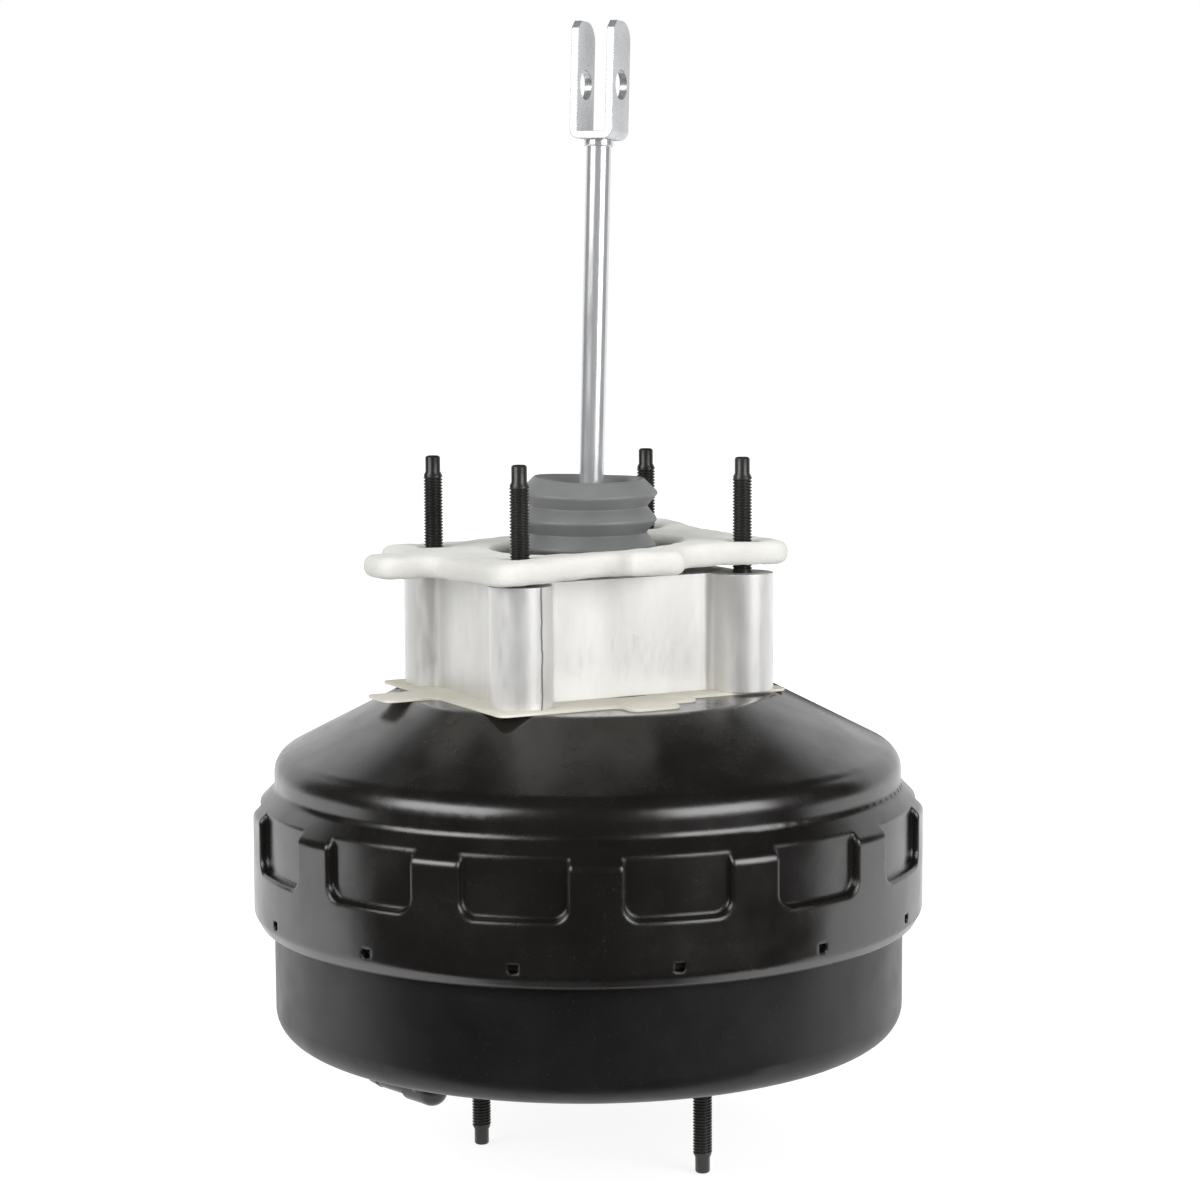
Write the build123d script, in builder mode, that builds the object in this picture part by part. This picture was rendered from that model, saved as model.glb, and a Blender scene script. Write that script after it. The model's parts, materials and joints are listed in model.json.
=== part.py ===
"""Tandem vacuum brake booster with a spacer block, firewall studs and a clevis rod.

The origin is the centre of the firewall stud pattern on the spacer's mounting face.
+Z runs along the booster's axis towards the brake pedal, +X along the long side of the
stud pattern and +Y along its short side. All sizes are in millimetres and degrees.
Heights on the axis are counted from the rear shell's crown where nothing else is said.
"""
from build123d import *
from math import cos, degrees, radians, sin, sqrt
import os

os.makedirs("parts", exist_ok=True)

# ------------------------------------------------------------------ driving dimensions
# Pressed shells
sheet = 1.6                     # steel sheet of both shells
shell_height = 139.0            # front shell's floor to the rear shell's crown
band_radius = 137.0             # outside of the crimped band
front_inset = 8.0               # band to the front shell's wall
neck_inset = 9.0                # band to the rear shell's neck above it
crown_radius = 78.0             # flat seat for the spacer
lip_height = -92.0              # lower edge of the rear shell
lip_inset = 2.5                 # how far the crimped lip turns in
taper_rise = 4.5                # height of the turned-in lip
band_rise = 45.5                # lip to the top of the band's straight wall
neck_rise = 9.0                 # height of the shoulder from the band to the neck
neck_height = 12.0237           # shoulder to the foot of the cone, corner to corner
band_bend = 4.0
neck_bend = 3.0
cone_bend = 10.0
crown_bend = 6.0
floor_bend = 11.0
flange_bend = 2.0
shell_fit = 0.4                 # play of the front shell's flange in the band
flange_height = 11.3            # underside of the front shell's flange above the lip

# Pressed pockets and crimp stakes round the band
pocket_count = 14
pocket_turn = -0.8              # heading of the first pocket
pocket_width = 41.0
pocket_drop = 21.4              # top of the band's straight wall to the pocket's lower rim
pocket_depth = 3.2
pocket_corner = 6.0
pocket_draft = 2.0
pocket_rim = 1.2                # rounding where a pocket leaves the band
rim_tolerance = 0.02
stake_width = 4.0
stake_height = 3.5
stake_depth = 3.0
stake_corner = 1.0
stake_gap = 0.1                 # stake to the flange it locks

# Master cylinder seat on the front shell
platform_radius = 65.0
platform_depth = 12.0
platform_run = 6.0              # radial run of the platform's sloping side
platform_bend = 4.0
nose_hole_radius = 22.0         # clears the master cylinder's nose
mc_stud_spacing = 100.6
mc_stud_heading = -51.4         # heading of the line through both studs
mc_stud_reach = 47.0            # stud tip below the platform
backing_plate = 2.5             # thickness of both reinforcements
front_plate_margin = 6.5        # platform's edge to the edge of its reinforcement
rear_plate_margin = 4.0         # crown's edge to the edge of its reinforcement
rear_plate_bore = 24.6

# Studs
stud_radius = 4.0
stud_shank_radius = 4.4          # plain shank that the sheet and the spacer hold
stud_point_radius = 3.05
stud_point_length = 6.5
stud_taper = 1.6
stud_head_radius = 7.5
stud_head_height = 3.0
stud_fit = 0.25
foam_stud_fit = 1.3             # the foam's holes are wide of the threads
stud_chamfer = 0.5
firewall_pitch_x = 100.0
firewall_pitch_y = 80.0
firewall_stud_reach = 46.5      # stud tip above the mounting face

# Spacer and gaskets
spacer_height = 47.5
column_radius = 12.5            # round columns that carry the studs
column_blend = 4.0
end_wall_margin = 4.0           # end walls stand outside the stud rows
side_wall_inset = 3.5           # side walls stand inside the stud rows
spacer_wall = 5.0
spacer_corner = 3.0
base_gasket_thickness = 1.0
foam_thickness = 9.0
foam_hole_radius = 37.5
gasket_end_margin = 17.0
gasket_side_margin = 17.0
gasket_corner = 4.0
gasket_relief = 9.0             # set-back of one end of the front edge
gasket_relief_run = 47.0
gasket_tab_length = 22.0        # tab on the -X end
gasket_tab_width = 21.0
gasket_tab_place = 11.5
gasket_lug_width = 22.0         # lug on the -Y side
gasket_lug_length = 12.0
gasket_lug_place = -5.0
foam_margin = 2.0               # the foam stands this far outside the base gasket

# Neck tube, bearing and boot
tube_radius = 26.0
tube_height = 29.0
tube_bend = 3.0
bearing_height = 12.0
seal_height = 6.5
bearing_rise = 9.0              # bearing's lower end above the crown
seal_lip = 1.5
boot_wall = 1.4
boot_fit = 0.1                  # sleeve to the neck tube
boot_pitch = 11.0
boot_peak_radius = 28.5
boot_valley_radius = 24.2
boot_folds = 4
boot_bend = 1.6
boot_sleeve_height = 23.5
boot_sleeve_drop = 16.0         # sleeve's lower end below the tube's top
boot_mouth_radius = 10.0
boot_rim_radius = 21.5
boot_rim_rise = 6.0
boot_recess = 5.0

# Power piston
body_clearance = 0.06           # running fit of the valve body in its bearings
piston_tube_radius = 21.0
piston_tube_bore = 17.5
piston_tube_end = 66.0          # end of the valve body
hub_radius = 33.0
hub_bore = 29.5
hub_front = -89.0
hub_shoulder = -21.0
pilot_radius = 27.0
pilot_height = 6.0
pilot_taper = 4.5
front_pilot_radius = 31.5
front_pilot_height = 6.0
core_radius = 18.5
core_front = -49.3
core_root = -27.0
seat_radius = 12.9              # outside of the vacuum seat
seat_lip = 1.4
seat_height = 3.1               # vacuum seat
chamber_floor = -1.0
pocket_floor = -5.0             # floor of the plunger's pocket
channel_radius = 1.7
channel_pitch_radius = 15.2
channel_count = 4
plate_sheet = 1.5
plate_bend = 4.0
plate_land = 5.0                # flat of the rear plate outside the hub
plate_fit = 0.05
push_ring = 1.2                 # thickness of the rings that hold the plates
push_ring_width = 4.9

# Diaphragms and centre divider
rubber = 1.2
divider_sheet = 1.2
divider_inset = 7.5             # band to the divider's rim
divider_rim_height = 39.0       # above the lip
divider_bend = 1.6
divider_flange = 2.0
divider_hub_radius = 39.2
divider_hub_height = 10.0
rear_rim_height = -35.0
rear_dish_margin = 6.0          # crown's edge to the edge of the rear plate's flat
rear_dish_rise = 8.0
front_rim_drop = 8.0
rear_bead_width = 5.5
front_bead_width = 4.8
bead_top_margin = 0.5           # neck to the rear bead's top
fold_radius = 6.2               # outside of the rolling folds
fold_gap = 0.6                  # flat at the bottom of a fold
rear_fold_inset = 0.9           # neck to the rear fold
rear_fold_height = -53.4
front_fold_inset = 3.7          # front shell's wall to the front fold
front_fold_height = -96.6
rubber_lay = 0.2                # rubber to the plate it lies on
bead_fit = 0.1
soft_gap = 0.3                  # clearance of soft parts from moving neighbours
inner_bead = 4.0
inner_bead_height = 3.0

# Control valve
plunger_travel = 1.8
valve_gap = 0.4                 # vacuum seat to the poppet at rest
plunger_radius = 6.4
plunger_clearance = 0.05
plunger_flange_radius = 10.0
plunger_flange_height = 5.5
plunger_hub_radius = 7.5
plunger_hub_height = 7.5
groove_radius = 4.5
groove_height = 3.0
groove_drop = 14.7              # plunger's seat face to the groove's lower side
ball_radius = 5.0
ball_rise = 1.0                 # ball's centre above the plunger's seat face
socket_clearance = 0.05
socket_lip_radius = 4.65
socket_lip_height = 2.6
key_thickness = 2.6
key_width = 12.0
key_reach = 27.0
key_tail = 8.0
key_clearance = 0.2
key_slot_height = 6.0
key_slot_drop = 2.5             # slot's lower side below the key
stop_gap = 0.3
poppet_radius = 14.0
poppet_hole_radius = 8.0
poppet_face = 2.5
poppet_sleeve_radius = 13.2
poppet_sleeve_wall = 1.0
poppet_bead_radius = 16.5
poppet_bead_height = 3.6
poppet_height = 16.1
retainer_sheet = 0.8
retainer_height = 9.0
retainer_hole_radius = 6.6
retainer_bend = 1.5
silencer_height = 6.0
filter_height = 8.5
filter_bore = 11.5
filter_drop = 2.0               # air filter below the valve body's end
filter_fit = 0.1

# Reaction disc and output rod
reaction_radius = 12.0
reaction_height = 8.0
reaction_clearance = 0.2
output_head_height = 4.5
output_radius = 6.0
output_rod_end = -4.0           # above the front shell's floor
output_tip_radius = 4.5
output_tip_length = 12.0
output_collar_radius = 5.6
output_collar_height = 3.0
output_sheet = 1.2              # retainer of the output rod
output_retainer_bore = 7.0
output_retainer_skirt = 5.5
front_seal_radius = 23.6
front_seal_cup = 20.0
front_seal_cone = 16.0
front_seal_height = 9.9
front_seal_bend = 2.5

# Springs
return_wire = 4.0
return_mean_radius = 26.0
return_turns = 7
valve_wire = 1.4
valve_mean_radius = 8.2
valve_turns = 5
poppet_wire = 0.9
poppet_spring_radius = 10.6
poppet_turns = 4
check_wire = 0.6
check_spring_radius = 3.5
check_turns = 3
spring_gap = 0.05

# Input rod and clevis
rod_radius = 5.0
rod_inner_radius = 4.2          # between the neck and the shoulder
rod_neck_radius = 3.6
rod_lean = 1.6                  # the rod rests against the boot at this lean
rod_lean_heading = -27.7
rod_neck_length = 9.0
rod_neck_taper = 4.0
rod_shoulder_radius = 8.5
rod_shoulder_height = 2.5
rod_shoulder_rise = 42.5        # ball's centre to the shoulder
rod_collar_radius = 5.8
rod_collar_height = 2.5
rod_length = 217.5              # ball's centre to the clevis
clevis_pin_heading = -51.0
clevis_sheet = 3.0
clevis_gap = 12.3
clevis_width = 17.0
clevis_height = 46.5
clevis_bend = 3.8
clevis_hole_radius = 5.9
clevis_hole_height = 21.6
clevis_near_corner = 3.0
clevis_far_corner = 8.0
rivet_radius = 4.5
rivet_fit = 0.05

# Vacuum check valve
check_radius = 84.0             # booster's axis to the valve's axis
check_heading = 194.4
check_hole_radius = 9.0
grommet_flange_radius = 11.0
grommet_flange = 3.0
grommet_inner_flange = 3.0
check_stem_radius = 5.95
check_bore_radius = 3.9
check_barrel_radius = 8.0
check_base_flange = 2.4
check_barrel_height = 7.2
check_wall = 1.6
check_barb_radius = 7.2
check_barb_rise = 4.7           # barb above the floor
check_barb_height = 1.5
check_stem_rise = 8.0
grommet_bore = 6.0
grommet_fit = 0.05
grommet_lead_in = 1.0
grommet_shoulder = 10.5
check_disc_radius = 5.0
check_disc_height = 1.6
nipple_radius = 5.0
nipple_bore = 3.0
nipple_drop = 13.0              # nipple's axis below the floor
nipple_length = 36.0
nipple_root_radius = 6.2
nipple_root = 12.0              # valve's axis to the end of the nipple's thick root
nipple_barb = 0.2
nipple_barb_length = 6.0
nipple_lead_in = 0.5

# ------------------------------------------------------------------ levels on the axis
crown_z = -(spacer_height + base_gasket_thickness)
floor_z = crown_z - shell_height


def level(height):
    """Z of a height that is counted from the rear shell's crown."""
    return crown_z + height


def on_circle(radius, heading):
    """Point on a circle about the booster's axis."""
    return radius * cos(radians(heading)), radius * sin(radians(heading))


lip_radius = band_radius - lip_inset
neck_radius = band_radius - neck_inset
front_radius = band_radius - front_inset
lip_z = level(lip_height)
band_top_z = lip_z + band_rise
neck_base_z = band_top_z + neck_rise
cone_base_z = neck_base_z + neck_height
cone_slope = (crown_z - cone_base_z) / (neck_radius - crown_radius)
tube_top_z = crown_z + tube_height
tube_bore = tube_radius - sheet
flange_radius = band_radius - sheet - shell_fit
flange_z = lip_z + flange_height
platform_z = floor_z - platform_depth
platform_inside_z = platform_z + sheet
crown_inside_z = crown_z - sheet
ledge_z = band_top_z - pocket_drop

plunger_seat_z = level(seat_height) + valve_gap
ball_z = plunger_seat_z + ball_rise
groove_z = plunger_seat_z - groove_drop
reaction_z = level(core_front) + output_head_height
reaction_top_z = reaction_z + reaction_height
poppet_top_z = plunger_seat_z + poppet_height
retainer_z = poppet_top_z + soft_gap
filter_top_z = level(piston_tube_end) - filter_drop
key_z = groove_z + (groove_height - key_thickness) / 2

lean_axis = (
    sin(radians(rod_lean)) * cos(radians(rod_lean_heading)),
    sin(radians(rod_lean)) * sin(radians(rod_lean_heading)),
    cos(radians(rod_lean)),
)
rod_frame = Plane(
    origin=(0, 0, ball_z),
    x_dir=(*on_circle(1, clevis_pin_heading), 0),
    z_dir=lean_axis,
)
rod_section = Plane(rod_frame.origin, x_dir=rod_frame.x_dir, z_dir=-rod_frame.y_dir)
rod_side = Plane(rod_frame.origin, x_dir=rod_frame.y_dir, z_dir=rod_frame.x_dir)
rod_axis = Axis(rod_frame.origin, rod_frame.z_dir)


# ------------------------------------------------------------------------------ helpers
def half_plane(heading):
    """Upright plane through the booster's axis: X is the radius, Y the height."""
    x, y = on_circle(1, heading)
    return Plane((0, 0, 0), x_dir=(x, y, 0), z_dir=(y, -x, 0))


def pressed_section(points, bends, thickness, side, plane=Plane.XZ):
    """Section of a pressed sheet: a bent path thickened to one side."""
    with BuildSketch(plane) as section:
        with BuildLine():
            FilletPolyline(*points, radius=bends)
            offset(amount=thickness, side=side)
        make_face()
    return section.sketch


def turned_section(points, plane=Plane.XZ):
    """Half section of a turned or moulded ring, given by its corners."""
    with BuildSketch(plane) as section:
        with BuildLine():
            Polyline(*points, close=True)
        make_face()
    return section.sketch


def ring(inner, outer, bottom, top):
    """Rectangular half section of a plain ring."""
    return turned_section([(inner, bottom), (outer, bottom), (outer, top), (inner, top)])


def save(name, label):
    """Label a finished sub-part and write it."""
    name.part.label = label
    export_step(name.part, f"parts/{label}.step")


def shoulder_z(radius, below=0):
    """Height of the band's shoulder at a radius, or of a line that far below its surface."""
    slope = neck_rise / (band_radius - neck_radius)
    return band_top_z + (band_radius - radius) * slope - below * sqrt(1 + slope**2)


def pressed_sector(section, width, corner):
    """Part of a ring, as wide as a pressed form, with its lower corners rounded."""
    angle = degrees(width / band_radius)
    with BuildPart() as sector:
        with BuildSketch(half_plane(-angle / 2)):
            with BuildLine():
                Polyline(*section, close=True)
            make_face()
        revolve(axis=Axis.Z, revolution_arc=angle)
        side_edges = sector.edges().filter_by(GeomType.LINE).group_by(Axis.Z)[0]
        fillet(side_edges, radius=corner)
    return sector.part


def stud(head_z, face_z, tip_z):
    """Stud from its head on a reinforcement, past the face it leaves, to its dog point."""
    way = 1 if tip_z > head_z else -1
    head_top = head_z - way * stud_head_height
    point_root = tip_z - way * stud_point_length
    outline = [
        (0, head_top),
        (stud_head_radius, head_top),
        (stud_head_radius, head_z),
        (stud_shank_radius, head_z),
        (stud_shank_radius, face_z),
        (stud_radius, face_z),
        (stud_radius, point_root - way * stud_taper),
        (stud_point_radius, point_root),
        (stud_point_radius, tip_z - way * stud_chamfer),
        (stud_point_radius - stud_chamfer, tip_z),
        (0, tip_z),
    ]
    with BuildPart() as turned:
        add(turned_section(outline))
        revolve(axis=Axis.Z)
    return turned.part


def coil(mean_radius, wire, turns, bottom, top):
    """Coil spring that stands between two levels."""
    start = bottom + wire / 2 + spring_gap
    rise = top - wire / 2 - spring_gap - start
    with BuildPart() as spring:
        with BuildLine():
            path = Helix(rise / turns, rise, mean_radius, center=(0, 0, start))
        with BuildSketch(Plane(origin=path @ 0, z_dir=path % 0)):
            Circle(wire / 2)
        sweep()
    return spring.part


def gasket_face(grow, hole_radius):
    """Outline shared by both gaskets, grown by a margin, with its stud holes."""
    end = firewall_pitch_x / 2 + gasket_end_margin
    side = firewall_pitch_y / 2 + gasket_side_margin
    with BuildSketch() as face:
        Rectangle(2 * end, 2 * side)
        with Locations((gasket_lug_place, -side)):
            Rectangle(gasket_lug_width, 2 * gasket_lug_length)
        with Locations((-end, gasket_tab_place)):
            Rectangle(2 * gasket_tab_length, gasket_tab_width)
        with Locations((end, -side)):
            Rectangle(2 * gasket_relief_run, 2 * gasket_relief, mode=Mode.SUBTRACT)
        fillet(face.vertices(), radius=gasket_corner)
        offset(amount=grow)
        Circle(foam_hole_radius, mode=Mode.SUBTRACT)
        with GridLocations(firewall_pitch_x, firewall_pitch_y, 2, 2):
            Circle(hole_radius, mode=Mode.SUBTRACT)
    return face.sketch


# ---------------------------------------------------------------------------- rear shell
rear_path = [
    (lip_radius, lip_z),
    (band_radius, lip_z + taper_rise),
    (band_radius, band_top_z),
    (neck_radius, neck_base_z),
    (neck_radius, cone_base_z),
    (crown_radius, crown_z),
    (tube_radius, crown_z),
    (tube_radius, tube_top_z),
]
rear_bends = [band_bend, band_bend, neck_bend, cone_bend, crown_bend, tube_bend]
pan_outside = band_radius - sheet / 2
cut_outside = band_radius + pocket_depth

pocket_floor_radius = band_radius - pocket_depth
pocket_pan_radius = pocket_floor_radius - sheet
pocket_pan = pressed_sector(
    [
        (pocket_pan_radius, ledge_z - sheet),
        (pan_outside, ledge_z - sheet),
        (pan_outside, shoulder_z(pan_outside, sheet / 2)),
        (pocket_pan_radius, shoulder_z(pocket_pan_radius, sheet / 2)),
    ],
    pocket_width + 2 * sheet,
    pocket_corner + sheet,
)
pocket_cut = pressed_sector(
    [
        (pocket_floor_radius, ledge_z + pocket_draft),
        (cut_outside, ledge_z),
        (cut_outside, neck_base_z),
        (pocket_floor_radius, neck_base_z),
    ],
    pocket_width,
    pocket_corner,
)

stake_floor_radius = band_radius - stake_depth
stake_pan_radius = stake_floor_radius - sheet
stake_top_z = flange_z - stake_gap
stake_cut_top_z = stake_top_z - sheet
stake_bottom_z = stake_cut_top_z - stake_height
stake_pan = pressed_sector(
    [
        (stake_pan_radius, stake_bottom_z),
        (pan_outside, stake_bottom_z),
        (pan_outside, stake_top_z),
        (stake_pan_radius, stake_top_z),
    ],
    stake_width + 2 * sheet,
    stake_corner,
)
stake_cut = pressed_sector(
    [
        (stake_floor_radius, stake_bottom_z),
        (cut_outside, stake_bottom_z),
        (cut_outside, stake_cut_top_z),
        (stake_floor_radius, stake_cut_top_z),
    ],
    stake_width,
    stake_corner,
)


def is_pocket_rim(edge):
    """True for a side or lower edge of a pocket that lies on the outside of the band."""
    ends = [edge @ 0, edge @ 0.5, edge @ 1]
    reach = min(Vector(end.X, end.Y).length for end in ends)
    foot = min(end.Z for end in ends)
    on_side = ledge_z - rim_tolerance < foot < ledge_z + pocket_drop / 2
    return on_side and reach > band_radius - rim_tolerance


with BuildPart() as rear_shell:
    add(pressed_section(rear_path, rear_bends, sheet, Side.LEFT))
    revolve(axis=Axis.Z)
    with PolarLocations(0, pocket_count, start_angle=pocket_turn):
        add([pocket_pan, stake_pan])
    with PolarLocations(0, pocket_count, start_angle=pocket_turn):
        add([pocket_cut, stake_cut], mode=Mode.SUBTRACT)
    fillet(rear_shell.edges().filter_by(is_pocket_rim), radius=pocket_rim)
    with BuildSketch(Plane.XY.offset(crown_z)):
        with GridLocations(firewall_pitch_x, firewall_pitch_y, 2, 2):
            Circle(stud_shank_radius + stud_fit)
    extrude(amount=-2 * sheet, mode=Mode.SUBTRACT)
save(rear_shell, "rear_shell")

# --------------------------------------------------------------------------- front shell
front_path = [
    (flange_radius, flange_z),
    (front_radius, flange_z),
    (front_radius, floor_z),
    (platform_radius + platform_run, floor_z),
    (platform_radius, platform_z),
    (nose_hole_radius, platform_z),
]
with BuildPart() as front_shell:
    add(
        pressed_section(
            front_path, [flange_bend, floor_bend, platform_bend, platform_bend], sheet, Side.RIGHT
        )
    )
    revolve(axis=Axis.Z)
    with BuildSketch(Plane.XY.offset(platform_z)):
        with PolarLocations(mc_stud_spacing / 2, 2, start_angle=mc_stud_heading):
            Circle(stud_shank_radius + stud_fit)
    extrude(amount=2 * sheet, mode=Mode.SUBTRACT)
    with BuildSketch(Plane.XY.offset(floor_z)):
        with Locations(on_circle(check_radius, check_heading)):
            Circle(check_hole_radius)
    extrude(amount=2 * sheet, mode=Mode.SUBTRACT)
save(front_shell, "front_shell")

# -------------------------------------------------------------- reinforcements and studs
front_plate_z = platform_inside_z + backing_plate
with BuildPart() as front_reinforcement:
    with BuildSketch(Plane.XY.offset(platform_inside_z)):
        Circle(platform_radius - front_plate_margin)
        Circle(nose_hole_radius, mode=Mode.SUBTRACT)
        with PolarLocations(mc_stud_spacing / 2, 2, start_angle=mc_stud_heading):
            Circle(stud_shank_radius + stud_fit, mode=Mode.SUBTRACT)
    extrude(amount=backing_plate)
save(front_reinforcement, "front_reinforcement")

with BuildPart() as master_cylinder_studs:
    with PolarLocations(mc_stud_spacing / 2, 2, start_angle=mc_stud_heading):
        add(stud(front_plate_z, platform_z, platform_z - mc_stud_reach))
save(master_cylinder_studs, "master_cylinder_studs")

rear_plate_z = crown_inside_z - backing_plate
key_stop_z = key_z + key_thickness + stop_gap
rear_plate_lip = rear_plate_bore + sheet
rear_plate_radius = crown_radius - rear_plate_margin
with BuildPart() as rear_reinforcement:
    add(
        turned_section(
            [
                (rear_plate_bore, key_stop_z),
                (rear_plate_lip, key_stop_z),
                (rear_plate_lip, rear_plate_z),
                (rear_plate_radius, rear_plate_z),
                (rear_plate_radius, crown_inside_z),
                (rear_plate_bore, crown_inside_z),
            ]
        )
    )
    revolve(axis=Axis.Z)
    with BuildSketch(Plane.XY.offset(crown_inside_z)):
        with GridLocations(firewall_pitch_x, firewall_pitch_y, 2, 2):
            Circle(stud_shank_radius + stud_fit)
    extrude(amount=-backing_plate, mode=Mode.SUBTRACT)
save(rear_reinforcement, "rear_reinforcement")

with BuildPart() as firewall_studs:
    with GridLocations(firewall_pitch_x, firewall_pitch_y, 2, 2):
        add(stud(rear_plate_z, 0, firewall_stud_reach))
save(firewall_studs, "firewall_studs")

# ---------------------------------------------------------------------- spacer and gaskets
with BuildPart() as base_gasket:
    with BuildSketch(Plane.XY.offset(crown_z)):
        add(gasket_face(0, stud_shank_radius + stud_fit))
    extrude(amount=base_gasket_thickness)
save(base_gasket, "base_gasket")

spacer_half_x = firewall_pitch_x / 2 + end_wall_margin
spacer_half_y = firewall_pitch_y / 2 - side_wall_inset
with BuildPart() as spacer:
    with BuildSketch() as spacer_outline:
        Rectangle(2 * spacer_half_x, 2 * spacer_half_y)
        with GridLocations(firewall_pitch_x, firewall_pitch_y, 2, 2):
            Circle(column_radius)
        fillet(spacer_outline.vertices(), radius=column_blend)
    extrude(amount=-spacer_height)
    with BuildSketch() as spacer_opening:
        Rectangle(2 * (spacer_half_x - spacer_wall), 2 * (spacer_half_y - spacer_wall))
        with GridLocations(firewall_pitch_x, firewall_pitch_y, 2, 2):
            Circle(column_radius, mode=Mode.SUBTRACT)
        fillet(spacer_opening.vertices(), radius=spacer_corner)
    extrude(amount=-spacer_height, mode=Mode.SUBTRACT)
    with BuildSketch():
        with GridLocations(firewall_pitch_x, firewall_pitch_y, 2, 2):
            Circle(stud_shank_radius + stud_fit)
    extrude(amount=-spacer_height, mode=Mode.SUBTRACT)
save(spacer, "spacer")

with BuildPart() as foam_gasket:
    add(gasket_face(foam_margin, stud_radius + foam_stud_fit))
    extrude(amount=foam_thickness)
save(foam_gasket, "foam_gasket")

# ------------------------------------------------------------------ neck bearing and boot
bearing_z = crown_z + bearing_rise
bearing_top_z = bearing_z + bearing_height
running_radius = piston_tube_radius + body_clearance
with BuildPart() as neck_bearing:
    add(ring(running_radius, tube_bore, bearing_z, bearing_top_z))
    revolve(axis=Axis.Z)
save(neck_bearing, "neck_bearing")

seal_z = bearing_top_z + soft_gap
seal_top_z = seal_z + seal_height
seal_middle_z = seal_z + seal_height / 2
with BuildPart() as neck_seal:
    add(
        turned_section(
            [
                (running_radius + seal_lip, seal_z),
                (tube_bore, seal_z),
                (tube_bore, seal_top_z),
                (running_radius + seal_lip, seal_top_z),
                (running_radius, seal_middle_z),
            ]
        )
    )
    revolve(axis=Axis.Z)
save(neck_seal, "neck_seal")

sleeve_radius = tube_radius + boot_fit + boot_wall
sleeve_z = tube_top_z - boot_sleeve_drop
sleeve_top_z = sleeve_z + boot_sleeve_height
boot_path = [(sleeve_radius, sleeve_z), (sleeve_radius, sleeve_top_z)]
for fold in range(boot_folds):
    valley_z = sleeve_top_z + (fold + 0.5) * boot_pitch
    boot_path.append((boot_valley_radius, valley_z))
    boot_path.append((boot_peak_radius, valley_z + boot_pitch / 2))
boot_top_z = boot_path[-1][1] + boot_rim_rise
boot_path.append((boot_rim_radius, boot_top_z))
boot_path.append((boot_mouth_radius, boot_top_z - boot_recess))
with BuildPart() as dust_boot:
    add(pressed_section(boot_path, boot_bend, boot_wall, Side.LEFT))
    revolve(axis=Axis.Z)
save(dust_boot, "dust_boot")

# ------------------------------------------------------------------------- power piston
with BuildPart() as valve_body:
    add(
        turned_section(
            [
                (front_pilot_radius, level(hub_front)),
                (front_pilot_radius, level(hub_front + front_pilot_height)),
                (hub_radius, level(hub_front + front_pilot_height)),
                (hub_radius, level(hub_shoulder)),
                (pilot_radius, level(hub_shoulder)),
                (pilot_radius, level(hub_shoulder + pilot_height)),
                (piston_tube_radius, level(hub_shoulder + pilot_height + pilot_taper)),
                (piston_tube_radius, level(piston_tube_end)),
                (piston_tube_bore, level(piston_tube_end)),
                (piston_tube_bore, level(chamber_floor)),
                (seat_radius, level(chamber_floor)),
                (seat_radius, level(seat_height)),
                (seat_radius - seat_lip, level(seat_height)),
                (seat_radius - seat_lip, level(pocket_floor)),
                (plunger_radius + plunger_clearance, level(pocket_floor)),
                (plunger_radius + plunger_clearance, reaction_top_z),
                (reaction_radius + reaction_clearance, reaction_top_z),
                (reaction_radius + reaction_clearance, level(core_front)),
                (core_radius, level(core_front)),
                (core_radius, level(core_root)),
                (hub_bore, level(core_root)),
                (hub_bore, level(hub_front)),
            ]
        )
    )
    revolve(axis=Axis.Z)
    with BuildSketch(Plane.XY.offset(key_z - key_slot_drop)):
        with Locations((-key_tail - key_clearance, 0)):
            Rectangle(
                hub_radius + key_tail,
                key_width + 2 * key_clearance,
                align=(Align.MIN, Align.CENTER),
            )
    extrude(amount=key_slot_height, mode=Mode.SUBTRACT)
    with BuildSketch(Plane.XY.offset(level(core_front))):
        with PolarLocations(channel_pitch_radius, channel_count, start_angle=180 / channel_count):
            Circle(channel_radius)
    extrude(amount=chamber_floor - core_front, mode=Mode.SUBTRACT)
save(valve_body, "valve_body")

fold_width = 2 * fold_radius + fold_gap
rear_fold_outer = neck_radius - rear_fold_inset
rear_fold_inner = rear_fold_outer - fold_width
rear_rim_radius = rear_fold_inner - soft_gap
front_fold_outer = front_radius - front_fold_inset
front_fold_inner = front_fold_outer - fold_width
front_rim_radius = front_fold_inner - soft_gap

rear_plate_top_z = level(hub_shoulder) + plate_sheet
rear_dish_radius = crown_radius + rear_dish_margin
dish_foot = hub_radius + plate_land
rear_dish_z = rear_plate_top_z + rear_dish_rise


def dish_points(lay, rim):
    """Path along the rear plate's top at a lay above it, from the hub to a rim radius."""
    top_z = rear_dish_z + lay
    return [
        (dish_foot, rear_plate_top_z + lay),
        (dish_foot + rear_dish_rise, top_z),
        (rear_dish_radius, top_z),
        (rim, top_z - (rim - rear_dish_radius) * cone_slope),
    ]


with BuildPart() as rear_piston_plate:
    add(
        pressed_section(
            [
                (pilot_radius + plate_fit, rear_plate_top_z),
                *dish_points(0, rear_rim_radius),
                (rear_rim_radius, level(rear_rim_height)),
            ],
            plate_bend,
            plate_sheet,
            Side.RIGHT,
        )
    )
    revolve(axis=Axis.Z)
save(rear_piston_plate, "rear_piston_plate")

rear_ring_z = rear_plate_top_z + inner_bead_height
with BuildPart() as rear_plate_retainer:
    add(
        ring(
            pilot_radius + plate_fit,
            pilot_radius + push_ring_width,
            rear_ring_z,
            rear_ring_z + push_ring,
        )
    )
    revolve(axis=Axis.Z)
save(rear_plate_retainer, "rear_plate_retainer")

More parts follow.
